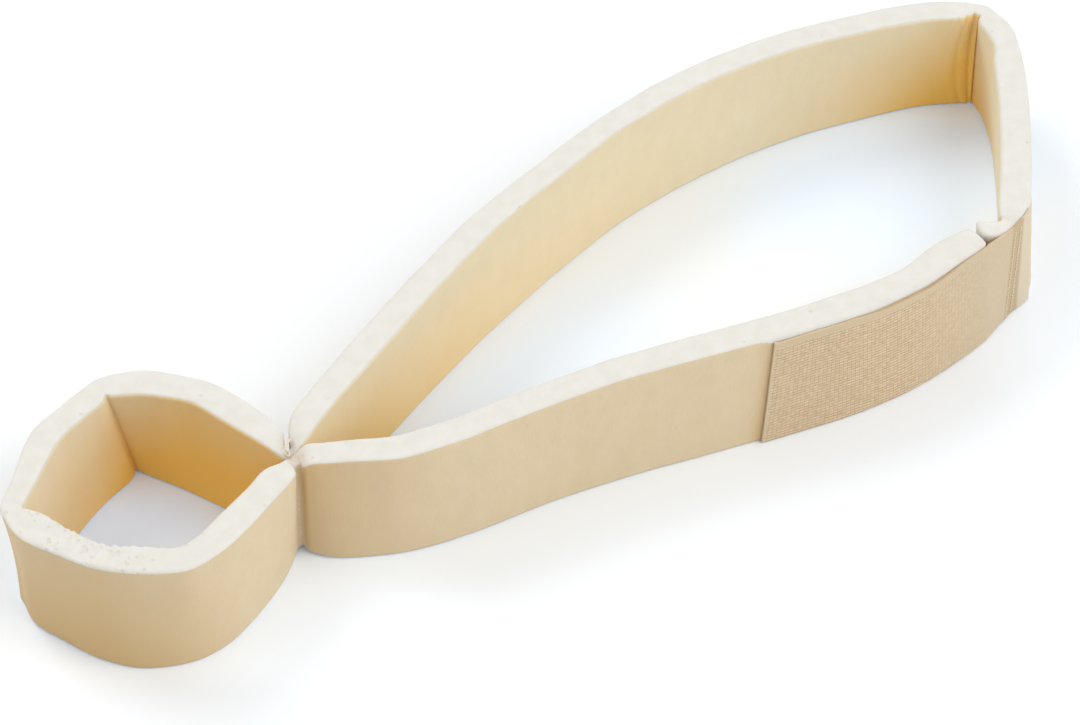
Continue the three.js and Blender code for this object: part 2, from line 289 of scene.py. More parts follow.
# A mesh has more steps along the strip where it is folded, sewn or torn.
FINE_STRETCHES = {
    "front seam": 10,
    "torn edge": 36,
    "left fold": 12,
    "back fold": 14,
    "back seam": 10,
    "far fold": 20,
    "hinge": 10,
}
FINER = 2.5
step_density = 1 + FINER * sum(near(route_runs, spot, reach) for spot, reach in FINE_STRETCHES.items())
step_counts = np.concatenate([[0], np.cumsum(step_density[1:] * np.diff(route_runs))])


def run_at(share):
    """The run at a share of all the steps along the strip."""
    return np.interp(share * step_counts[-1], step_counts, route_runs)


def flat_points(piece):
    points = np.empty(len(piece.data.vertices) * 3)
    piece.data.vertices.foreach_get("co", points)
    return points.reshape(-1, 3) * 1000


def set_points(piece, points):
    piece.data.vertices.foreach_set("co", points.ravel())
    piece.data.update()


NEARLY_PARALLEL = 0.99


def cut_edges(piece, direction, longer_than, cuts):
    """Cuts all the edges that run along a direction and are longer than a length into equal steps."""
    bpy.ops.object.mode_set(mode="OBJECT")
    mesh = piece.data
    for element in (*mesh.vertices, *mesh.edges, *mesh.polygons):
        element.select = False
    for edge in mesh.edges:
        a, b = (mesh.vertices[v].co for v in edge.vertices)
        along = abs((b - a).dot(Vector(direction)))
        edge.select = along > longer_than and along > NEARLY_PARALLEL * (b - a).length
    bpy.ops.object.mode_set(mode="EDIT")
    bpy.ops.mesh.subdivide(number_cuts=cuts)


FOAM_EDGE = 1.6
bpy.ops.mesh.primitive_cube_add(size=1)
foam_strip = bpy.context.object
foam_strip.name = "foam_strip"
foam_strip.scale = (strip_length / 1000, STRIP_THICKNESS / 1000, STRIP_WIDTH / 1000)
foam_strip.location = foam_strip.scale / 2
bpy.ops.object.transform_apply(location=True, rotation=False, scale=True)
bpy.ops.object.mode_set(mode="EDIT")
bpy.context.tool_settings.mesh_select_mode = (False, True, False)
bpy.ops.mesh.select_all(action="SELECT")
bpy.ops.mesh.bevel(offset=FOAM_EDGE / 1000, segments=4, affect="EDGES")
cut_edges(foam_strip, (0, 0, 1), longer_than=0.01, cuts=15)
cut_edges(foam_strip, (0, 1, 0), longer_than=0.005, cuts=9)
cut_edges(foam_strip, (1, 0, 0), longer_than=0.5, cuts=99)
cut_edges(foam_strip, (1, 0, 0), longer_than=0.005, cuts=8)
bpy.ops.object.mode_set(mode="OBJECT")


def rough(first, second, step, seed):
    return np.array([noise.noise(Vector((a / step, b / step, seed))) for a, b in zip(first, second)])


# The knife was held at a slant, so up to the left fold the outer cloth comes nearest to the edge, and after
# it the inner one. The foam swells over the edges of the cloths. At the top it swells further over the outer
# cloth at the left of the wrist loop and under the hook tab, and over the inner cloth at the waist.
NEAR_TRIM = 0.4
FAR_TRIM = 1.7
SLANT_CHANGE = 10
FOLD_TRIM = 0.4
FOLD_TRIM_REACH = 9
TORN_TRIM = 0.7
TORN_TRIM_REACH = 40
SEAM_TRIM = 2.5
SEAM_TRIM_REACH = 6

# The hook tab lies over the start of the strip, as far as its lap. Each row gives a run and how far the foam
# swells there, in mm.
TAB_LAP = 103.5
TAB_TRIMS = [
    (0, 0.5),
    (12, 1.4),
    (20, 2.4),
    (30, 3.1),
    (40, 2.6),
    (56, 2.1),
    (66, 1.1),
    (85, 0.9),
    (TAB_LAP - 2, 1.2),
    (TAB_LAP + 2, 0),
]


def tab_trim(run):
    runs, trims = zip(*TAB_TRIMS)
    return np.interp(run, runs, trims)


def cloth_trim(run, layer, at_top):
    """How far a cloth's edge is from the edge of the strip, in mm. at_top is 1 for its upper edge and 0 for
    its lower one."""
    outer = np.round(layer)
    past_fold = np.clip((run - spots["left fold"]) / SLANT_CHANGE + 0.5, 0, 1)
    slant = NEAR_TRIM + (FAR_TRIM - NEAR_TRIM) * np.abs(past_fold - 1 + outer)
    at_fold = FOLD_TRIM * near(run, "left fold", FOLD_TRIM_REACH)
    at_tear = TORN_TRIM * near(run, "torn edge", TORN_TRIM_REACH)
    over_outer = at_fold + at_tear + tab_trim(run)
    over_inner = SEAM_TRIM * sum(near(run, seam, SEAM_TRIM_REACH) for seam in ("front seam", "back seam"))
    return slant + at_top * (outer * over_outer + (1 - outer) * over_inner)


# The foam's cut edge is rough, most of all where it was torn at the front of the wrist loop, and there its
# inner edge is ragged. The seams press it at the waist, and there its top is marked for painted shade.
SWOLLEN_PAST_TRIM = 0.3
SWOLLEN_FADE = 0.7
TOP_REACH = 2
TORN_PAST_SPOT = 6
TORN_REACH = 46
TORN_EDGE = 1.7
TORN_STEP = 2.6
FINE_TORN_STEP = 1.1
FINE_TORN_SHARE = 0.6
TORN_CUT = 0.45
ROUGH_CUT = 0.1
ROUGH_CUT_STEP = 1.9
SEAM_SHADE_REACH = 7
BACK_SEAM_SHADE = 0.7
flat = flat_points(foam_strip)
foam_run = run_at(flat[:, 0] / strip_length)
foam_layer = flat[:, 1] / STRIP_THICKNESS
foam_height = flat[:, 2] / STRIP_WIDTH
from_edge = np.minimum(flat[:, 2], STRIP_WIDTH - flat[:, 2])
swollen_to = cloth_trim(foam_run, foam_layer, foam_height > 0.5) + SWOLLEN_PAST_TRIM
under_cloth = np.clip((from_edge - swollen_to) / SWOLLEN_FADE, 0, 1)
under_cloth = under_cloth**2 * (3 - 2 * under_cloth)
near_top = np.clip(1 - (STRIP_WIDTH - flat[:, 2]) / TOP_REACH, 0, 1)
torn = near(foam_run - TORN_PAST_SPOT, "torn edge", TORN_REACH) * near_top
front_seam_shade = near(foam_run, "front seam", SEAM_SHADE_REACH)
back_seam_shade = BACK_SEAM_SHADE * near(foam_run, "back seam", SEAM_SHADE_REACH)
painted_seam_shade = (front_seam_shade + back_seam_shade) * near_top
ragged = rough(foam_run, flat[:, 2], TORN_STEP, seed=7)
ragged += FINE_TORN_SHARE * rough(foam_run, flat[:, 2], FINE_TORN_STEP, seed=8)
foam_lift = CLOTH_THICKNESS * (1 - 2 * foam_layer) * under_cloth
foam_lift += TORN_EDGE * torn * (1 - foam_layer) ** 2 * ragged
bent = place(foam_run, foam_height, foam_layer, foam_lift)
cut_grain = rough(foam_run, flat[:, 1], ROUGH_CUT_STEP, seed=5)
bent[:, 2] += (ROUGH_CUT + TORN_CUT * torn) * cut_grain * near_top / 1000
bent[:, 2] = np.maximum(bent[:, 2], 0)
set_points(foam_strip, bent)
bpy.ops.object.shade_smooth()
for name, values in (("torn", torn), ("painted_seam_shade", painted_seam_shade)):
    mark = foam_strip.data.attributes.new(name, "FLOAT", "POINT")
    mark.data.foreach_set("value", values)


def new_material(name):
    material = bpy.data.materials.new(name)
    material.use_nodes = True
    nodes = material.node_tree.nodes
    return material, nodes, material.node_tree.links, nodes["Principled BSDF"]


def add_node(nodes, kind, **inputs):
    node = nodes.new("ShaderNode" + kind)
    for name, value in inputs.items():
        node.inputs[name].default_value = value
    return node


def mix_colours(nodes, links, factor, first, second):
    """A colour between two, each a plain colour or another node's output."""
    mix = nodes.new("ShaderNodeMix")
    mix.data_type = "RGBA"
    links.new(factor, mix.inputs["Factor"])
    for name, colour in (("A", first), ("B", second)):
        if isinstance(colour, tuple):
            mix.inputs[name].default_value = colour
        else:
            links.new(colour, mix.inputs[name])
    return mix.outputs["Result"]


def map_range(nodes, links, value, low, high, to_low=0, to_high=1):
    node = nodes.new("ShaderNodeMapRange")
    node.inputs["From Min"].default_value = low
    node.inputs["From Max"].default_value = high
    node.inputs["To Min"].default_value = to_low
    node.inputs["To Max"].default_value = to_high
    links.new(value, node.inputs["Value"])
    return node.outputs["Result"]


def calculate(nodes, links, operation, first, second):
    node = nodes.new("ShaderNodeMath")
    node.operation = operation
    for i, value in enumerate((first, second)):
        if isinstance(value, (int, float)):
            node.inputs[i].default_value = value
        else:
            links.new(value, node.inputs[i])
    return node.outputs["Value"]


def add_bump(nodes, links, shader, height, strength, distance):
    bump = add_node(nodes, "Bump", Strength=strength, Distance=distance)
    links.new(height, bump.inputs["Height"])
    links.new(bump.outputs["Normal"], shader.inputs["Normal"])


# The foam has soft mottling, a fine grain, and a few small pits, which lie closer together where it is torn.
# The pits are darkened with painted shade.
# The foam's top at the waist seams is darker, painted shade in the valley that the seams press into it.
FOAM_LIGHT = (0.735, 0.725, 0.685, 1)
FOAM_SHADE = (0.705, 0.69, 0.64, 1)
FOAM_PIT_PAINTED_SHADE = (0.56, 0.51, 0.43, 1)
FOAM_SEAM_SHADE = (0.64, 0.565, 0.485, 1)
MOTTLE_RANGE = (0.35, 0.65)
PIT_RANGE = (0.2, 0.42)
PIT_CHANCE = 0.012
TORN_PIT_CHANCE = 0.6
PIT_SHADE = 0.25
GRAIN_RELIEF = 0.35
foam_material, nodes, links, shader = new_material("white_foam")
shader.inputs["Roughness"].default_value = 0.95
shader.inputs["Specular IOR Level"].default_value = 0.15
where = nodes.new("ShaderNodeTexCoord")
mottle = add_node(nodes, "TexNoise", Scale=160.0, Detail=3.0)
grain = add_node(nodes, "TexNoise", Scale=1400.0, Detail=2.0)
cells = add_node(nodes, "TexVoronoi", Scale=420.0)
for texture in (mottle, grain, cells):
    links.new(where.outputs["Object"], texture.inputs["Vector"])
torn_place = nodes.new("ShaderNodeAttribute")
torn_place.attribute_name = "torn"
cell_number = nodes.new("ShaderNodeSeparateColor")
links.new(cells.outputs["Color"], cell_number.inputs["Color"])
pit_chance = map_range(nodes, links, torn_place.outputs["Fac"], 0, 1, PIT_CHANCE, TORN_PIT_CHANCE)
pit_here = calculate(nodes, links, "LESS_THAN", cell_number.outputs["Red"], pit_chance)
pit_shape = map_range(nodes, links, cells.outputs["Distance"], *PIT_RANGE, to_low=1, to_high=0)
pits = calculate(nodes, links, "MULTIPLY", pit_here, pit_shape)
soft_shade = map_range(nodes, links, mottle.outputs["Fac"], *MOTTLE_RANGE)
foam_colour = mix_colours(nodes, links, soft_shade, FOAM_SHADE, FOAM_LIGHT)
pit_shade = calculate(nodes, links, "MULTIPLY", pits, PIT_SHADE)
foam_colour = mix_colours(nodes, links, pit_shade, foam_colour, FOAM_PIT_PAINTED_SHADE)
seam_shade_place = nodes.new("ShaderNodeAttribute")
seam_shade_place.attribute_name = "painted_seam_shade"
foam_colour = mix_colours(nodes, links, seam_shade_place.outputs["Fac"], foam_colour, FOAM_SEAM_SHADE)
links.new(foam_colour, shader.inputs["Base Color"])
fine_relief = calculate(nodes, links, "MULTIPLY", grain.outputs["Fac"], GRAIN_RELIEF)
foam_relief = calculate(nodes, links, "SUBTRACT", fine_relief, pits)
add_bump(nodes, links, shader, foam_relief, strength=0.45, distance=0.0006)
foam_strip.data.materials.append(foam_material)
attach(foam_strip, "root")
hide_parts("foam_core")

# The two cloths
# Brushed beige knit, bonded to both faces of the foam from end to end and cut with it. Each is a flat
# sheet that follows its face of the bent strip, and its cut edges sink into the swollen edges of the foam.
CLOTH_END_TRIM = 1.2
EDGE_SINK = 0.2
EDGE_SINK_REACH = 0.4
BOND_GAP = 0.06
CLOTH_STEPS_ALONG = 760
CLOTH_STEPS_UP = 40
EVEN_SHARE = 0.2
SHARP_EDGE = math.radians(50)
cloth_length = strip_length - 2 * CLOTH_END_TRIM


def cloth_sheet(name, steps_along, steps_up):
    """A flat grid of size 1."""
    bpy.ops.object.select_all(action="DESELECT")
    bpy.ops.mesh.primitive_grid_add(x_subdivisions=steps_along, y_subdivisions=steps_up, size=1)
    sheet = bpy.context.object
    sheet.name = name
    shares = flat_points(sheet) / 1000 + 0.5
    return sheet, shares[:, 0], shares[:, 1]


def edge_steps(share):
    """Moves even steps towards both edges."""
    return EVEN_SHARE * share + (1 - EVEN_SHARE) * (0.5 - 0.5 * np.cos(math.pi * share))


def map_flat(sheet, along, up):
    """The sheet's UV map is its flat size in millimetres."""
    corners = np.empty(len(sheet.data.loops), dtype=int)
    sheet.data.loops.foreach_get("vertex_index", corners)
    flat_map = np.column_stack([along, up])[corners]
    sheet.data.uv_layers.active.data.foreach_set("uv", flat_map.ravel())


def give_thickness(sheet, thickness):
    """The sheet's faces look outwards, and its thickness goes in behind them."""
    solid = sheet.modifiers.new("thickness", "SOLIDIFY")
    solid.thickness = thickness / 1000
    solid.offset = -1
    bpy.context.view_layer.objects.active = sheet
    bpy.ops.object.modifier_apply(modifier=solid.name)
    bpy.ops.object.shade_smooth_by_angle(angle=SHARP_EDGE)


def turn_faces():
    bpy.ops.object.mode_set(mode="EDIT")
    bpy.ops.mesh.select_all(action="SELECT")
    bpy.ops.mesh.flip_normals()
    bpy.ops.object.mode_set(mode="OBJECT")


def cloth_on_face(name, layer):
    """The sheet goes round the eased edge of the foam and sinks into it."""
    sheet, along, up = cloth_sheet(name, CLOTH_STEPS_ALONG, CLOTH_STEPS_UP)
    run = CLOTH_END_TRIM + run_at(along) * cloth_length / strip_length
    on_layer = np.full(len(run), float(layer))
    lowest = cloth_trim(run, on_layer, 0)
    highest = STRIP_WIDTH - cloth_trim(run, on_layer, 1)
    level = lowest + edge_steps(up) * (highest - lowest)
    on_curve = np.clip(FOAM_EDGE - np.minimum(level, STRIP_WIDTH - level), 0, FOAM_EDGE)
    sink = FOAM_EDGE - np.sqrt(FOAM_EDGE**2 - on_curve**2)
    from_edge = np.minimum(level - lowest, highest - level)
    sink += EDGE_SINK * np.clip(1 - from_edge / EDGE_SINK_REACH, 0, 1) ** 2
    height = level / STRIP_WIDTH
    map_flat(sheet, run, level)
    set_points(sheet, place(run, height, on_layer, sink * (1 - 2 * layer)))
    if layer == 1:
        turn_faces()
    return sheet, run, height


# Painted shade: light that falls into the loops goes from cloth to cloth, so the sheltered stretches of the
# inner cloth look golden, most of all low down, and that golden shade is painted into its colour. The outer
# cloth has painted shade too, deeper in colour at the front left, at the waist and as the shadow of the hook
# tab's free end.
# Each row gives a spot, the run past it in mm, and the share of the painted shade low down and at the top.
INNER_PAINTED_SHADE_ROWS = [
    ("front seam", -40, 0.1, 0),
    ("front seam", 0, 0.9, 0.3),
    ("torn edge", 0, 0.9, 0.2),
    ("left fold", 0, 0.35, 0),
    ("back fold", -25, 0.75, 0),
    ("back fold", -3, 1.25, 0.15),
    ("back fold", 2, 1.2, 0.1),
    ("back fold", 12, 1.3, 0.2),
    ("back fold", 30, 1.3, 0.5),
    ("back seam", 0, 1.3, 0.65),
    ("back seam", 12, 1, 0.1),
    ("back seam", 50, 0.85, 0),
    ("back seam", 75, 0.55, 0),
    ("back seam", 110, 0.45, 0),
    ("back seam", 150, 0.25, 0),
    ("far fold", -110, 0, 0),
    ("far fold", -67, 0.25, 0),
    ("far fold", -48, 0.55, 0),
    ("far fold", -33, 0.85, 0),
    ("far fold", -15, 1.2, 0.25),
    ("far fold", -10, 1.5, 0.45),
    ("far fold", -5, 1.3, 0.65),
    ("far fold", -1, 1.2, 0.6),
    ("far fold", 3, 1.1, 0),
    ("far fold", 20, 0.55, 0),
    ("far fold", 60, 0, 0),
]
OUTER_PAINTED_SHADE_ROWS = [
    ("lap", 0, 1, 0.7),
    ("lap", 1.5, 0.9, 0.4),
    ("lap", 6, 0.15, 0.05),
    ("lap", 12, 0, 0),
    ("front seam", -60, 0, 0),
    ("front seam", -20, 0.3, 0.4),
    ("front seam", -9, 0.45, 0.65),
    ("front seam", -2, 0.5, 1),
    ("front seam", 0.5, 0.1, 0.2),
    ("front seam", 2, 0, 0),
    ("wrist front", -25, 0, 0),
    ("wrist front", 10, 0.85, 0.2),
    ("torn edge", 0, 1.2, 0.4),
    ("left fold", 0, 0.9, 0.3),
    ("back fold", -40, 0, 0),
]


def mark_painted_shade(cloth, stretches, run, height):
    """Keeps the share of the painted shade colour at each point of a cloth."""
    names, runs_past, low_shares, top_shares = zip(*stretches)
    runs = [spots[name] + run_past for name, run_past in zip(names, runs_past)]
    low = np.interp(run, runs, low_shares)
    top = np.interp(run, runs, top_shares)
    mark = cloth.data.attributes.new("painted_shade", "FLOAT", "POINT")
    mark.data.foreach_set("value", np.clip(low + (top - low) * height, 0, 1))


KNIT_RANGE = (0.7, 1.3)


def brushed_knit():
    """The knit has faint upright streaks, its nap makes soft patches, and where it is marked it takes its
    painted shade colour. Both cloths share this group."""
    group = bpy.data.node_groups.new("brushed_knit", "ShaderNodeTree")
    for name in ("Light", "Dark", "Painted shade"):
        group.interface.new_socket(name, in_out="INPUT", socket_type="NodeSocketColor")
    group.interface.new_socket("Colour", in_out="OUTPUT", socket_type="NodeSocketColor")
    group.interface.new_socket("Relief", in_out="OUTPUT", socket_type="NodeSocketFloat")
    nodes = group.nodes
    links = group.links
    colours = nodes.new("NodeGroupInput").outputs
    result = nodes.new("NodeGroupOutput").inputs
    flat_map = nodes.new("ShaderNodeUVMap")
    wales = add_node(nodes, "Mapping", Scale=(1.7, 0.3, 1))
    nap = add_node(nodes, "Mapping", Scale=(0.12, 0.07, 1))
    streaks = add_node(nodes, "TexNoise", Scale=1.0, Detail=3.0, Roughness=0.6)
    patches = add_node(nodes, "TexNoise", Scale=1.0, Detail=2.0)
    for mapping, texture in ((wales, streaks), (nap, patches)):
        links.new(flat_map.outputs["UV"], mapping.inputs["Vector"])
        links.new(mapping.outputs["Vector"], texture.inputs["Vector"])
    fuzz = add_node(nodes, "TexNoise", Scale=3.2, Detail=2.0)
    links.new(flat_map.outputs["UV"], fuzz.inputs["Vector"])
    shade = calculate(nodes, links, "ADD", streaks.outputs["Fac"], patches.outputs["Fac"])
    shade = map_range(nodes, links, shade, *KNIT_RANGE)
    colour = mix_colours(nodes, links, shade, colours["Dark"], colours["Light"])
    painted_shade = nodes.new("ShaderNodeAttribute")
    painted_shade.attribute_name = "painted_shade"
    colour = mix_colours(nodes, links, painted_shade.outputs["Fac"], colour, colours["Painted shade"])
    links.new(colour, result["Colour"])
    relief = calculate(nodes, links, "ADD", streaks.outputs["Fac"], fuzz.outputs["Fac"])
    links.new(relief, result["Relief"])
    return group


def brushed_cloth(name, knit, light, dark, painted_shade_colour):
    material, nodes, links, shader = new_material(name)
    shader.inputs["Roughness"].default_value = 0.95
    shader.inputs["Specular IOR Level"].default_value = 0.1
    shader.inputs["Sheen Weight"].default_value = 0.12
    shader.inputs["Sheen Roughness"].default_value = 0.5
    shader.inputs["Sheen Tint"].default_value = (1, 0.96, 0.9, 1)
    face = nodes.new("ShaderNodeGroup")
    face.node_tree = knit
    face.inputs["Light"].default_value = light
    face.inputs["Dark"].default_value = dark
    face.inputs["Painted shade"].default_value = painted_shade_colour
    links.new(face.outputs["Colour"], shader.inputs["Base Color"])
    add_bump(nodes, links, shader, face.outputs["Relief"], strength=0.3, distance=0.0003)
    return material


# Both cloths are the same knit. The inner cloth's lighter colours are painted light and the outer cloth's
# darker ones painted shade.
OUTER_LIGHT = (0.7, 0.575, 0.39, 1)
OUTER_DARK = (0.66, 0.535, 0.35, 1)
OUTER_PAINTED_SHADE_COLOUR = (0.615, 0.43, 0.215, 1)
INNER_LIGHT = (0.8, 0.705, 0.515, 1)
INNER_DARK = (0.765, 0.67, 0.475, 1)
INNER_PAINTED_SHADE_COLOUR = (0.855, 0.52, 0.115, 1)
knit = brushed_knit()
outer_finish = brushed_cloth("outer_brushed_cloth", knit, OUTER_LIGHT, OUTER_DARK, OUTER_PAINTED_SHADE_COLOUR)
inner_finish = brushed_cloth("inner_brushed_cloth", knit, INNER_LIGHT, INNER_DARK, INNER_PAINTED_SHADE_COLOUR)

# The tab's free end is cut at a slant, so the painted shadow beside it slants too.
TAB_SKEW = 5.9
SKEWED_TO = 1.5 * TAB_LAP
spots["lap"] = TAB_LAP
outer_cloth, run, height = cloth_on_face("outer_cloth", 1)
painted_shadow_slant = TAB_SKEW * (height - 0.5) * (run < SKEWED_TO)
mark_painted_shade(outer_cloth, OUTER_PAINTED_SHADE_ROWS, run + painted_shadow_slant, height)
outer_cloth.data.materials.append(outer_finish)
inner_cloth, run, height = cloth_on_face("inner_cloth", 0)
mark_painted_shade(inner_cloth, INNER_PAINTED_SHADE_ROWS, run, height)
inner_cloth.data.materials.append(inner_finish)
for cloth, node in ((outer_cloth, "outer_facing"), (inner_cloth, "inner_facing")):
    bpy.ops.object.select_all(action="DESELECT")
    cloth.select_set(True)
    give_thickness(cloth, CLOTH_THICKNESS - BOND_GAP)
    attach(cloth, "root")
    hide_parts(node)

# The hook tab
# Woven hook tape, as wide as the strip and smooth on the outside. It is sewn to the strip's hinged end and
# laps over the outer cloth of the other end, which its hooks hold, so its free end stands a little proud.
TAB_SEWN_FROM = 9.5
TAB_SEWN_TO = 23.5
TAB_TRIM = 0.5
TAB_LIFT = 0.2
TAB_THICKNESS = 1
TAB_FREE_LIFT = 0.15
TAB_FREE_REACH = 12
TAB_SKEW_REACH = 40
LAP_STATIONS = 80
SEWN_STATIONS = 12
TAPE_STEPS_ALONG = 180
TAPE_STEPS_UP = 52

lap_runs = np.linspace(TAB_LAP + TAB_SKEW / 2, 0, LAP_STATIONS)
sewn_runs = np.linspace(strip_length - TAB_SEWN_FROM, strip_length - TAB_SEWN_TO, SEWN_STATIONS)
tab_runs = np.concatenate([lap_runs, sewn_runs])
half_height = np.full(len(tab_runs), 0.5)
half_thick = np.full(len(tab_runs), TAB_THICKNESS / 2)
tab_middle = place(tab_runs, half_height, np.ones(len(tab_runs)), half_thick)
tab_along = np.concatenate([[0], np.cumsum(np.linalg.norm(np.diff(tab_middle, axis=0), axis=1))]) * 1000
tab_along -= TAB_SKEW / 2
tab_length = tab_along[-1]
tab_width = STRIP_WIDTH - 2 * TAB_TRIM


def place_on_tab(along, level, lift):
    """Points over the tab's face in metres, along it from its free end in mm."""
    height = (level + TAB_TRIM) / STRIP_WIDTH
    skew = TAB_SKEW * (height - 0.5) * np.clip(1 - along / TAB_SKEW_REACH, 0, 1)
    outer = np.ones(len(along))
    free = TAB_FREE_LIFT * np.clip(1 - along / TAB_FREE_REACH, 0, 1) ** 2
    stations = np.arange(len(tab_runs))
    at = np.interp(along + skew, tab_along, stations)
    before = np.clip(np.floor(at).astype(int), 0, len(tab_runs) - 2)
    share = (at - before)[:, None]
    start = place(tab_runs[before], height, outer, lift + free)
    end = place(tab_runs[before + 1], height, outer, lift + free)
    points = start * (1 - share) + end * share
    points[:, 2] = (level + TAB_TRIM) / 1000
    return points


hook_tape, along, up = cloth_sheet("hook_tape", TAPE_STEPS_ALONG, TAPE_STEPS_UP)
along = along * tab_length
below_top = tab_trim(TAB_LAP - along) * (along < TAB_LAP)
level = up * (tab_width - below_top)
map_flat(hook_tape, along, level + below_top)
set_points(hook_tape, place_on_tab(along, level, np.full(len(along), TAB_LIFT + TAB_THICKNESS)))
give_thickness(hook_tape, TAB_THICKNESS)

# Short floats of weft lie between fine upright ribs. The weave is fainter towards the sewn end and stops
# short of the free end and of the plain selvedge along the top. Over the stitching it is darker in a band.
WEAVE_FROM = 0.4
WEAVE_FULL_FROM = 1.2
WEAVE_FADES_FROM = 60
WEAVE_FAINT_FROM_END = 22
FAINT_WEAVE = 0.2
WEFT_RANGE = (0.4, 0.65)
WEFT_SHARE = 0.5
SELVEDGE = 2.2
SELVEDGE_FADE = 0.7
STITCHED_FROM_END = (15.7, 8.2)
STITCHED_FADE = 1.5
STITCHED_SHADE = 0.5
TAPE_PLAIN = (0.595, 0.49, 0.345, 1)
TAPE_EDGE = (0.6, 0.48, 0.32, 1)
TAPE_LIGHT = (0.7, 0.555, 0.375, 1)
TAPE_DARK = (0.59, 0.445, 0.28, 1)
TAPE_LINE = (0.43, 0.3, 0.165, 1)
TAPE_END = (0.65, 0.555, 0.415, 1)
tape_material, nodes, links, shader = new_material("woven_hook_tape")
shader.inputs["Roughness"].default_value = 0.8
shader.inputs["Specular IOR Level"].default_value = 0.2
flat_map = nodes.new("ShaderNodeUVMap")
flat_place = nodes.new("ShaderNodeSeparateXYZ")
links.new(flat_map.outputs["UV"], flat_place.inputs["Vector"])
tape_along = flat_place.outputs["X"]
tape_up = flat_place.outputs["Y"]
floats = add_node(nodes, "TexBrick", Color1=TAPE_LIGHT, Color2=TAPE_DARK, Mortar=TAPE_LINE, Scale=1)
floats.offset = 0
floats.inputs["Mortar Size"].default_value = 0.22
floats.inputs["Mortar Smooth"].default_value = 0.8
floats.inputs["Brick Width"].default_value = 3.5
floats.inputs["Row Height"].default_value = 1.3
ribs = add_node(nodes, "Mapping", Scale=(2, 1, 1))
links.new(flat_map.outputs["UV"], ribs.inputs["Vector"])
links.new(ribs.outputs["Vector"], floats.inputs["Vector"])
past_free_end = map_range(nodes, links, tape_along, WEAVE_FROM, WEAVE_FULL_FROM)
selvedge_from = tab_width - SELVEDGE
below_selvedge = map_range(nodes, links, tape_up, selvedge_from, selvedge_from - SELVEDGE_FADE)
faint_from = tab_length - WEAVE_FAINT_FROM_END
before_sewn_end = map_range(nodes, links, tape_along, WEAVE_FADES_FROM, faint_from, 1, FAINT_WEAVE)
woven = calculate(nodes, links, "MULTIPLY", below_selvedge, before_sewn_end)
woven = calculate(nodes, links, "MULTIPLY", woven, past_free_end)
plain_colour = mix_colours(nodes, links, below_selvedge, TAPE_EDGE, TAPE_PLAIN)
weft = add_node(nodes, "Mapping", Scale=(0.5, 1.6, 1))
links.new(flat_map.outputs["UV"], weft.inputs["Vector"])
weft_shade = add_node(nodes, "TexNoise", Scale=1.0, Detail=2.0)
links.new(weft.outputs["Vector"], weft_shade.inputs["Vector"])
raised_weft = map_range(nodes, links, weft_shade.outputs["Fac"], *WEFT_RANGE, 0, WEFT_SHARE)
weave_colour = mix_colours(nodes, links, raised_weft, floats.outputs["Color"], TAPE_LIGHT)
tape_colour = mix_colours(nodes, links, woven, plain_colour, weave_colour)
stitched_from, stitched_to = (tab_length - from_end for from_end in STITCHED_FROM_END)
faded_in = stitched_from + STITCHED_FADE
faded_out = stitched_to + STITCHED_FADE
after_plain = map_range(nodes, links, tape_along, stitched_from, faded_in, 0, STITCHED_SHADE)
before_end = map_range(nodes, links, tape_along, stitched_to, faded_out, 1, 0)
stitched = calculate(nodes, links, "MULTIPLY", after_plain, before_end)
past_stitches = map_range(nodes, links, tape_along, stitched_to, faded_out)
tape_colour = mix_colours(nodes, links, past_stitches, tape_colour, TAPE_END)
tape_colour = mix_colours(nodes, links, stitched, tape_colour, TAPE_LINE)
links.new(tape_colour, shader.inputs["Base Color"])
tape_relief = calculate(nodes, links, "MULTIPLY", floats.outputs["Fac"], woven)
tape_relief = calculate(nodes, links, "MULTIPLY", tape_relief, -1)
add_bump(nodes, links, shader, tape_relief, strength=0.5, distance=0.0003)
hook_tape.data.materials.append(tape_material)
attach(hook_tape, "root")
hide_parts("hook_tab")

# The stitching
# Cream thread. Two upright zigzag rows sew the hook tape to the hinged end of the strip, and a straight row
# through all the layers makes the waist, where its loose end curls up. Each stitch is one grain of thread.
THREAD = 0.65
GRAIN_HALF_SHARE = 0.38


def stitch_row(points, name):
    """A grain of thread between each two neighbouring points."""
    grains = []
    for a, b in zip(points[:-1], points[1:]):
        bpy.ops.object.select_all(action="DESELECT")
        bpy.ops.mesh.primitive_uv_sphere_add(segments=6, ring_count=5, radius=1)
        grain = bpy.context.object
        across = Vector(b) - Vector(a)
        grain.scale = (THREAD / 2000, THREAD / 2000, across.length * GRAIN_HALF_SHARE)
        grain.rotation_mode = "QUATERNION"
        grain.rotation_quaternion = across.to_track_quat("Z", "Y")
        grain.location = (Vector(a) + Vector(b)) / 2
        bpy.ops.object.transform_apply(location=True, rotation=True, scale=True)
        grains.append(grain)
    for grain in grains:
        grain.select_set(True)
    bpy.context.view_layer.objects.active = grains[0]
    bpy.ops.object.join()
    row = bpy.context.object
    row.name = name
    bpy.ops.object.shade_smooth()
    return row


thread_material, nodes, links, shader = new_material("cream_thread")
shader.inputs["Roughness"].default_value = 0.6
twist = add_node(nodes, "TexNoise", Scale=2500.0)
where = nodes.new("ShaderNodeTexCoord")
links.new(where.outputs["Object"], twist.inputs["Vector"])
THREAD_DARK = (0.6, 0.48, 0.31, 1)
THREAD_LIGHT = (0.88, 0.8, 0.63, 1)
thread_colour = mix_colours(nodes, links, twist.outputs["Fac"], THREAD_DARK, THREAD_LIGHT)
links.new(thread_colour, shader.inputs["Base Color"])

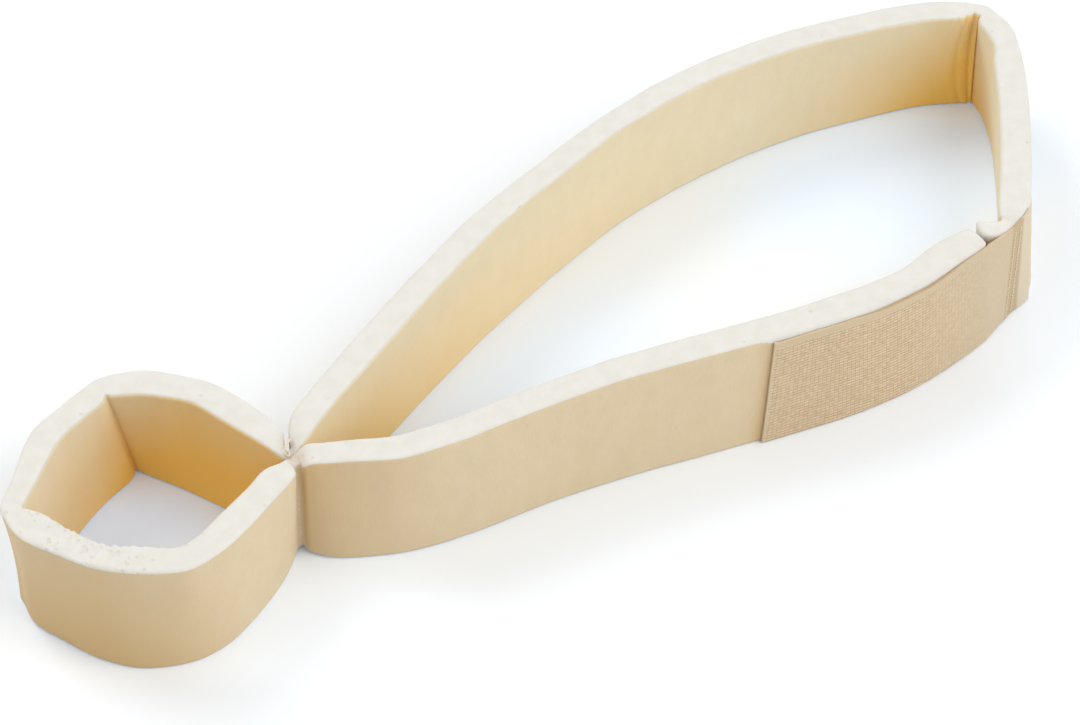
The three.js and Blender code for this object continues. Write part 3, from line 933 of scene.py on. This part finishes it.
ZIGZAG_STEP = 1.5
ZIGZAG_WIDTH = 1.3
ZIGZAG_FROM_END = (13.7, 10.1)
ZIGZAG_SLANT = 1.5
ZIGZAG_MARGIN = 1.5
ZIGZAG_ABOVE_TAPE = 0.1
zigzag_levels = np.arange(ZIGZAG_MARGIN, tab_width - ZIGZAG_MARGIN, ZIGZAG_STEP)
zigzag_sides = np.where(np.arange(len(zigzag_levels)) % 2, 0.5, -0.5) * ZIGZAG_WIDTH
stitching = []
for i, from_end in enumerate(ZIGZAG_FROM_END):
    along = tab_length - from_end + zigzag_sides + ZIGZAG_SLANT * (zigzag_levels / tab_width - 0.5)
    lifts = np.full(len(along), TAB_LIFT + TAB_THICKNESS + ZIGZAG_ABOVE_TAPE)
    stitching.append(stitch_row(place_on_tab(along, zigzag_levels, lifts), f"tab_stitching_{i + 1}"))

# Each row gives a side of the waist, the run past its seam and how far the thread stands out, in mm.
WAIST_STITCH = 3.6
WAIST_STITCHED_FROM = 7
WAIST_STITCHED_TO = 44
WAIST_ROWS = [
    ("front", 1.6, -0.2),
    ("back", 1.2, 0),
]
waist_levels = np.arange(WAIST_STITCHED_FROM, WAIST_STITCHED_TO, WAIST_STITCH) / STRIP_WIDTH
for side, run_past, lift in WAIST_ROWS:
    runs = np.full(len(waist_levels), spots[f"{side} seam"] + run_past)
    points = place(runs, waist_levels, np.ones(len(runs)), np.full(len(runs), float(lift)))
    stitching.append(stitch_row(points, f"waist_stitching_{side}"))

# Points of the loose end from the foot of the waist, in mm.
LOOSE_END = [
    (2.4, 6.5, 48),
    (-0.2, 4.3, 47.6),
    (-2.6, 2.9, 47.6),
    (-3.3, 0.9, 47.6),
    (-2.7, -0.6, 47),
    (-1.2, 0, 46.8),
    (-0.9, 1.6, 47),
]
bpy.ops.object.select_all(action="DESELECT")
bpy.ops.curve.primitive_nurbs_path_add()
loose_end = bpy.context.object
loose_end.name = "loose_thread"
curve = loose_end.data
curve.splines[0].points.add(len(LOOSE_END) - len(curve.splines[0].points))
curve.splines[0].order_u = 3
for point, (x, y, z) in zip(curve.splines[0].points, LOOSE_END):
    point.co = ((WAIST_SEAM[0] + x) / 1000, (WAIST_SEAM[1] + y) / 1000, z / 1000, 1)
curve.bevel_depth = THREAD / 2000
curve.bevel_resolution = 2
curve.use_fill_caps = True
bpy.ops.object.convert(target="MESH")
stitching.append(bpy.context.object)
for row in stitching:
    row.data.materials.append(thread_material)
    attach(row, "root")

# The floor, the lights and the camera
# A plain white floor in a bright room. Large soft lights stand all round it, the strongest at the right and
# at the back.
# In the loops the cloths colour the light, so there the floor is painted cooler and glows faintly, painted
# light that keeps it neutral. Beside the loops another glow, painted light, keeps the shadows pale. Each row
# there gives the middle of an ellipse from the waist in mm, its turn in degrees, its half length and half
# width in mm, and its share, which is full in the inner half.
FLOOR_SIZE = 12
FLOOR_OPEN = (0.905, 0.95, 1, 1)
FLOOR_INSIDE = (0.85, 0.93, 1, 1)
INSIDE_GLOW = (0, 0.065, 0.185, 1)
BESIDE_GLOW = (0.09, 0.11, 0.14, 1)
NO_GLOW = (0, 0, 0, 1)
FULL_WITHIN = 0.5
LOOP_FLOORS = [
    (-57, 20, 0, 60, 56, 1),
    (305, 56, 0, 90, 60, 0.65),
    (100, 17, 20, 105, 44, 0.5),
]
SHADED_FLOORS = [
    (-12, -47, -20, 64, 50, 0.8),
    (345, -20, 60, 115, 64, 0.7),
]
bpy.ops.object.select_all(action="DESELECT")
bpy.ops.mesh.primitive_plane_add(size=FLOOR_SIZE)
floor = bpy.context.object
floor.name = "floor"
floor_material, nodes, links, shader = new_material("white_floor")
shader.inputs["Roughness"].default_value = 0.8
shader.inputs["Emission Strength"].default_value = 1
where = nodes.new("ShaderNodeTexCoord")


def floor_share(ellipses):
    """The share of the floor that soft ellipses cover."""
    covered = 0
    for x, y, turn, length, width, share in ellipses:
        ellipse = nodes.new("ShaderNodeMapping")
        ellipse.vector_type = "TEXTURE"
        middle = (WAIST_SEAM + (x, y)) / 1000
        ellipse.inputs["Location"].default_value = (*middle, 0)
        ellipse.inputs["Rotation"].default_value = (0, 0, math.radians(turn))
        ellipse.inputs["Scale"].default_value = (length / 1000, width / 1000, 1)
        links.new(where.outputs["Object"], ellipse.inputs["Vector"])
        spread = nodes.new("ShaderNodeTexGradient")
        spread.gradient_type = "SPHERICAL"
        links.new(ellipse.outputs["Vector"], spread.inputs["Vector"])
        here = map_range(nodes, links, spread.outputs["Fac"], 0, FULL_WITHIN, 0, share)
        covered = calculate(nodes, links, "MAXIMUM", covered, here)
    return covered


inside_loops = floor_share(LOOP_FLOORS)
floor_colour = mix_colours(nodes, links, inside_loops, FLOOR_OPEN, FLOOR_INSIDE)
links.new(floor_colour, shader.inputs["Base Color"])
floor_glow = mix_colours(nodes, links, floor_share(SHADED_FLOORS), NO_GLOW, BESIDE_GLOW)
floor_glow = mix_colours(nodes, links, inside_loops, floor_glow, INSIDE_GLOW)
links.new(floor_glow, shader.inputs["Emission Color"])
floor.data.materials.append(floor_material)

# A light's place is given to the right, away from the camera and up, in metres from the middle of the floor.
VIEW_TURN = math.radians(-30)
VIEW_RIGHT = Vector((math.cos(VIEW_TURN), math.sin(VIEW_TURN), 0))
VIEW_AWAY = Vector((-math.sin(VIEW_TURN), math.cos(VIEW_TURN), 0))


def soft_light(name, right, away, up, size, power, colour=(1, 1, 1)):
    lamp = bpy.data.lights.new(name, "AREA")
    lamp.shape = "DISK"
    lamp.size = size
    lamp.energy = power
    lamp.color = colour
    light = bpy.data.objects.new(name, lamp)
    light.location = VIEW_RIGHT * right + VIEW_AWAY * away + Vector((0, 0, up))
    light.rotation_euler = (-light.location).to_track_quat("-Z", "Y").to_euler()
    bpy.context.collection.objects.link(light)


WARM = (1, 0.86, 0.66)
ROOM_LIGHT = 0.56
soft_light("right_light", right=1.6, away=-0.9, up=2.2, size=2.0, power=26)
soft_light("left_light", right=-1.6, away=-0.9, up=2.2, size=2.0, power=11, colour=WARM)
soft_light("back_light", right=-1.4, away=1.2, up=2.0, size=1.6, power=26.5)
soft_light("low_light", right=2.3, away=-0.2, up=0.9, size=1.2, power=11.5)
world = bpy.data.worlds.new("studio")
world.use_nodes = True
room = world.node_tree.nodes["Background"]
room.inputs["Color"].default_value = (1, 1, 1, 1)
room.inputs["Strength"].default_value = ROOM_LIGHT
bpy.context.scene.world = world
bpy.context.scene.view_settings.view_transform = "Standard"

CAMERA_FROM_WAIST = np.array([-459.7, -978.3])
CAMERA_HEIGHT = 1171.2
CAMERA_TILT = math.radians(45)
LENS = 140.57
SENSOR_WIDTH = 36
lens = bpy.data.cameras.new("camera")
lens.lens = LENS
lens.sensor_width = SENSOR_WIDTH
lens.sensor_fit = "HORIZONTAL"
camera = bpy.data.objects.new("camera", lens)
camera.location = (*((WAIST_SEAM + CAMERA_FROM_WAIST) / 1000), CAMERA_HEIGHT / 1000)
camera.rotation_euler = (CAMERA_TILT, 0, VIEW_TURN)
bpy.context.collection.objects.link(camera)
bpy.context.scene.camera = camera
